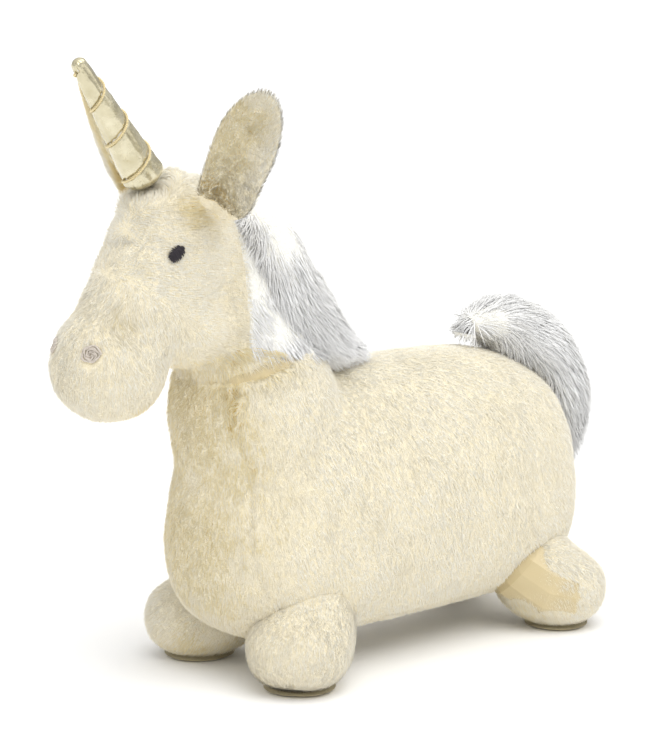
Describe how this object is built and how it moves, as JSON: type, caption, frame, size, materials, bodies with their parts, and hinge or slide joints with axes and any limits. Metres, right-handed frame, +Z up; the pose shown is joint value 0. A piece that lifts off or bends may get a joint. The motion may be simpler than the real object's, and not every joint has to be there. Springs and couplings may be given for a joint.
{
  "type": "ride-on plush unicorn hopper",
  "caption": "Inflatable ride-on hopper in a fitted cream plush unicorn cover, with a stuffed foil horn, stuffed ears, long-pile mane and tail, and a belly zip over the air valve.",
  "frame": {"origin": "on the ground, below the middle of the toy's box at rest", "axes": "+Z up, the unicorn faces -Y, its own left side is +X"},
  "size_m": [0.2652, 0.6232, 0.5661],
  "materials": {
    "plush": "matte",
    "ear_plush": "matte",
    "long_pile": "matte",
    "sole_cloth": "matte",
    "foil_cloth": "gloss",
    "gold_cord": "satin",
    "eye_thread": "satin",
    "nostril_thread": "satin",
    "wadding": "matte",
    "bladder_vinyl": "satin",
    "valve_vinyl": "gloss",
    "zip_tape": "matte",
    "zip_metal": "satin"
  },
  "bodies": {
    "root": {"cover_muzzle": "plush", "cover_forehead": "plush", "cover_head_left": "plush", "cover_head_right": "plush", "cover_belly": "plush", "cover_chest": "plush", "cover_side_left": "plush", "cover_side_right": "plush", "leg_front_left": "plush", "sole_front_left": "sole_cloth", "leg_rear_left": "plush", "sole_rear_left": "sole_cloth", "leg_front_right": "plush", "sole_front_right": "sole_cloth", "leg_rear_right": "plush", "sole_rear_right": "sole_cloth", "bladder": "bladder_vinyl", "valve_seat": "valve_vinyl", "zip_tape_left": "zip_tape", "zip_tape_right": "zip_tape", "zip_stop_front": "zip_metal", "zip_stop_rear": "zip_metal", "mane": "long_pile", "eye_left": "eye_thread", "nostril_left": "nostril_thread", "eye_right": "eye_thread", "nostril_right": "nostril_thread"},
    "ear_left": {"ear_left_back": "plush", "ear_left_front": "ear_plush", "ear_left_wadding": "wadding"},
    "ear_right": {"ear_right_back": "plush", "ear_right_front": "ear_plush", "ear_right_wadding": "wadding"},
    "horn": {"horn_cover": "foil_cloth", "horn_stuffing": "wadding", "horn_cord": "gold_cord"},
    "tail_tab": {"tail_tab": "plush"},
    "tail": {"tail_core": "wadding", "tail_pile": "long_pile"},
    "zip_slider": {"zip_slider": "zip_metal"},
    "pull_tab": {"zip_pull_tab": "zip_metal"},
    "valve_plug": {"valve_plug": "valve_vinyl"}
  },
  "joints": [
    {"name": "ear_left_fold", "type": "hinge", "parent": "root", "child": "ear_left", "pos_m": [0.061, -0.1806, 0.441], "axis": [0.6671, 0.5598, -0.4915], "range_deg": [-30, 60], "stiffness_Nm_per_rad": 1.2},
    {"name": "ear_right_fold", "type": "hinge", "parent": "root", "child": "ear_right", "pos_m": [-0.061, -0.1806, 0.441], "axis": [0.6671, -0.5598, 0.4915], "range_deg": [-30, 60], "stiffness_Nm_per_rad": 1.2},
    {"name": "horn_flex", "type": "hinge", "parent": "root", "child": "horn", "pos_m": [0, -0.2146, 0.46149], "axis": [1, 0, 0], "range_deg": [-15, 15], "stiffness_Nm_per_rad": 1.5},
    {"name": "tail_swing", "type": "hinge", "parent": "root", "child": "tail_tab", "pos_m": [0, 0.1614, 0.2715], "axis": [0, 0.2425, 0.9701], "range_deg": [-20, 20]},
    {"name": "tail_lift", "type": "hinge", "parent": "tail_tab", "child": "tail", "pos_m": [0, 0.1614, 0.2785], "axis": [1, 0, 0], "range_deg": [0, 60]},
    {"name": "zip_slide", "type": "slide", "parent": "root", "child": "zip_slider", "axis": [0, 1, 0], "range_m": [0, 0.15]},
    {"name": "pull_tab_swing", "type": "hinge", "parent": "zip_slider", "child": "pull_tab", "pos_m": [0, -0.0216, 0.0195], "axis": [1, 0, 0], "range_deg": [-80, 80]},
    {"name": "valve_plug_pull", "type": "slide", "parent": "root", "child": "valve_plug", "axis": [0, 0, -1], "range_m": [0, 0.012]}
  ]
}
